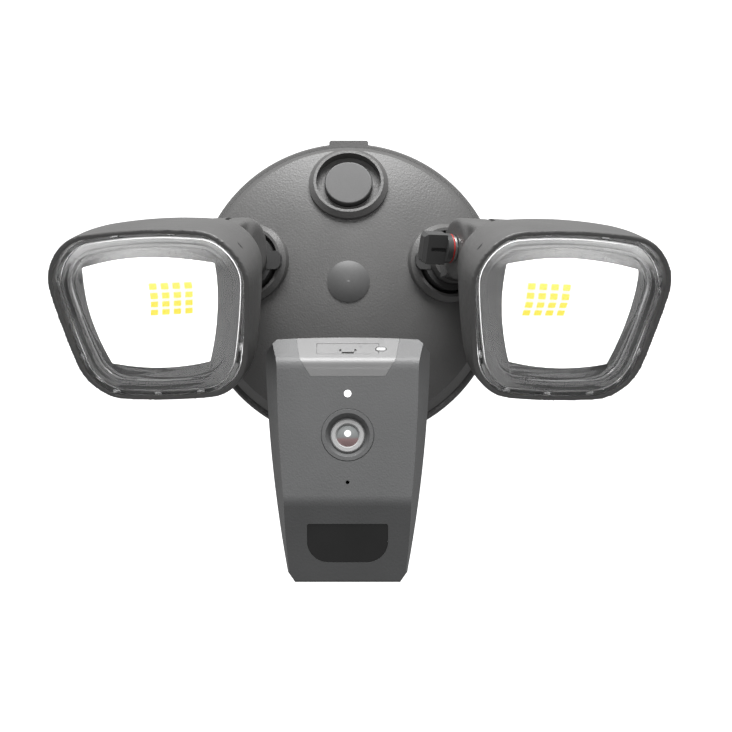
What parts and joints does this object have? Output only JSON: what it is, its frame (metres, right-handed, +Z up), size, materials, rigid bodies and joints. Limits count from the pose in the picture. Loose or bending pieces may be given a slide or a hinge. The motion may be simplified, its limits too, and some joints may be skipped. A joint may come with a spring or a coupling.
{
  "type": "floodlight security camera",
  "caption": "Wall-mounted floodlight security camera with a round domed base, adjustable lamp heads and a tapered camera unit.",
  "frame": {"origin": "centre of the mounting bracket, on the wall plane", "axes": "+Z up, -Y is the front, away from the wall, +X is the viewer's right"},
  "size_m": [0.2866, 0.1154, 0.2197],
  "materials": {
    "casing_grey": "fine-textured matt powder coat",
    "camera_grey": "fine-textured moulded plastic",
    "trim_satin": "smooth satin moulding",
    "socket_plastic": "moulded glass-filled nylon",
    "gasket_rubber": "soft matt rubber",
    "zinc_steel": "bright zinc plate",
    "driver_plastic": "potted box",
    "lens_ring_grey": "satin light grey moulding",
    "camera_glass": "coated glass",
    "indicator_white": "diffusing light pipe",
    "pir_dark": "matt infrared window",
    "sensor_metal": "nickel can",
    "board_green": "solder mask",
    "speaker_black": "paper and steel driver",
    "red_silicone": "silicone ring",
    "clear_cover": "clear polycarbonate",
    "reflector_white": "bright white moulding",
    "led_plate": "white-masked aluminium board",
    "led_yellow": "phosphor"
  },
  "bodies": {
    "base": {"base_housing": "casing_grey", "wall_gasket": "gasket_rubber", "mounting_bracket": "zinc_steel", "centre_screw": "zinc_steel", "socket_plug": "socket_plastic", "plug_seal": "gasket_rubber", "led_driver": "driver_plastic", "driver_screws": "zinc_steel", "camera_bracket": "casing_grey", "pan_pin": "zinc_steel", "right_socket_seal": "gasket_rubber", "left_socket_seal": "gasket_rubber"},
    "cap": {"centre_cap": "gasket_rubber"},
    "camera_neck": {"swivel_block": "casing_grey"},
    "camera": {"front_shell": "camera_grey", "rear_shell": "camera_grey", "top_trim": "trim_satin", "tilt_pin": "zinc_steel", "memory_card": "driver_plastic", "lens_bezel": "camera_grey", "lens_barrel": "lens_ring_grey", "lens_glass": "camera_glass", "indicator_lens": "indicator_white", "pir_window": "pir_dark", "pir_sensor": "sensor_metal", "main_board": "board_green", "shell_gasket": "gasket_rubber", "shell_screws": "zinc_steel", "speaker": "speaker_black"},
    "flap": {"slot_flap": "trim_satin"},
    "button": {"reset_button": "lens_ring_grey"},
    "right_arm": {"right_knuckle": "casing_grey", "right_stem_nut": "socket_plastic"},
    "right_ring": {"right_lock_ring": "socket_plastic"},
    "right_head": {"right_housing": "casing_grey", "right_lens_gasket": "gasket_rubber", "right_lens_cover": "clear_cover", "right_reflector": "reflector_white", "right_led_board": "led_plate", "right_led_chips": "led_yellow", "right_board_screws": "zinc_steel"},
    "right_knob": {"right_wing_knob": "socket_plastic", "right_clamp_screw": "zinc_steel", "right_knob_washer": "zinc_steel", "right_knob_ring": "red_silicone"},
    "left_arm": {"left_knuckle": "casing_grey", "left_stem_nut": "socket_plastic"},
    "left_ring": {"left_lock_ring": "socket_plastic"},
    "left_head": {"left_housing": "casing_grey", "left_lens_gasket": "gasket_rubber", "left_lens_cover": "clear_cover", "left_reflector": "reflector_white", "left_led_board": "led_plate", "left_led_chips": "led_yellow", "left_board_screws": "zinc_steel"},
    "left_knob": {"left_wing_knob": "socket_plastic", "left_clamp_screw": "zinc_steel", "left_knob_washer": "zinc_steel", "left_knob_ring": "red_silicone"}
  },
  "joints": [
    {"name": "cap_pull", "type": "slide", "parent": "base", "child": "cap", "axis": [0, -1, 0], "range_m": [0, 0.008]},
    {"name": "right_swivel", "type": "hinge", "parent": "base", "child": "right_arm", "pos_m": [0.047, -0.02042, 0.0102], "axis": [0.3584, -0.9336, 0], "range_deg": [0, 90]},
    {"name": "right_tilt", "type": "hinge", "parent": "right_arm", "child": "right_head", "pos_m": [0.06554, -0.04865, 0.01048], "axis": [0.9329, 0.3581, 0.0384], "range_deg": [-50, 2]},
    {"name": "right_lock", "type": "hinge", "parent": "base", "child": "right_ring", "pos_m": [0.047, -0.02042, 0.0102], "axis": [0.3584, -0.9336, 0], "range_deg": [0, 60]},
    {"name": "right_knob", "type": "hinge", "parent": "right_head", "child": "right_knob", "pos_m": [0.06554, -0.04865, 0.01048], "axis": [0.9329, 0.3581, 0.0384], "continuous": true},
    {"name": "left_swivel", "type": "hinge", "parent": "base", "child": "left_arm", "pos_m": [-0.047, -0.02042, 0.0102], "axis": [-0.3584, -0.9336, 0], "range_deg": [-90, 0]},
    {"name": "left_tilt", "type": "hinge", "parent": "left_arm", "child": "left_head", "pos_m": [-0.05435, -0.05294, 0.01002], "axis": [0.9329, -0.3581, -0.0384], "range_deg": [-50, 2]},
    {"name": "left_lock", "type": "hinge", "parent": "base", "child": "left_ring", "pos_m": [-0.047, -0.02042, 0.0102], "axis": [-0.3584, -0.9336, 0], "range_deg": [-60, 0]},
    {"name": "left_knob", "type": "hinge", "parent": "left_arm", "child": "left_knob", "pos_m": [-0.05435, -0.05294, 0.01002], "axis": [0.9329, -0.3581, -0.0384], "continuous": true},
    {"name": "camera_pan", "type": "hinge", "parent": "base", "child": "camera_neck", "pos_m": [0, -0.038, -0.0528], "axis": [0, 0, 1], "range_deg": [-8, 8]},
    {"name": "camera_tilt", "type": "hinge", "parent": "camera_neck", "child": "camera", "pos_m": [0, -0.056, -0.0528], "axis": [1, 0, 0], "range_deg": [-8, 14]},
    {"name": "flap_open", "type": "hinge", "parent": "camera", "child": "flap", "pos_m": [0, -0.07719, -0.03896], "axis": [-1, 0, 0], "range_deg": [0, 95]},
    {"name": "reset_press", "type": "slide", "parent": "camera", "child": "button", "axis": [0, 0.8192, -0.5736], "range_m": [0, 0.0006], "stiffness_N_per_m": 400}
  ]
}
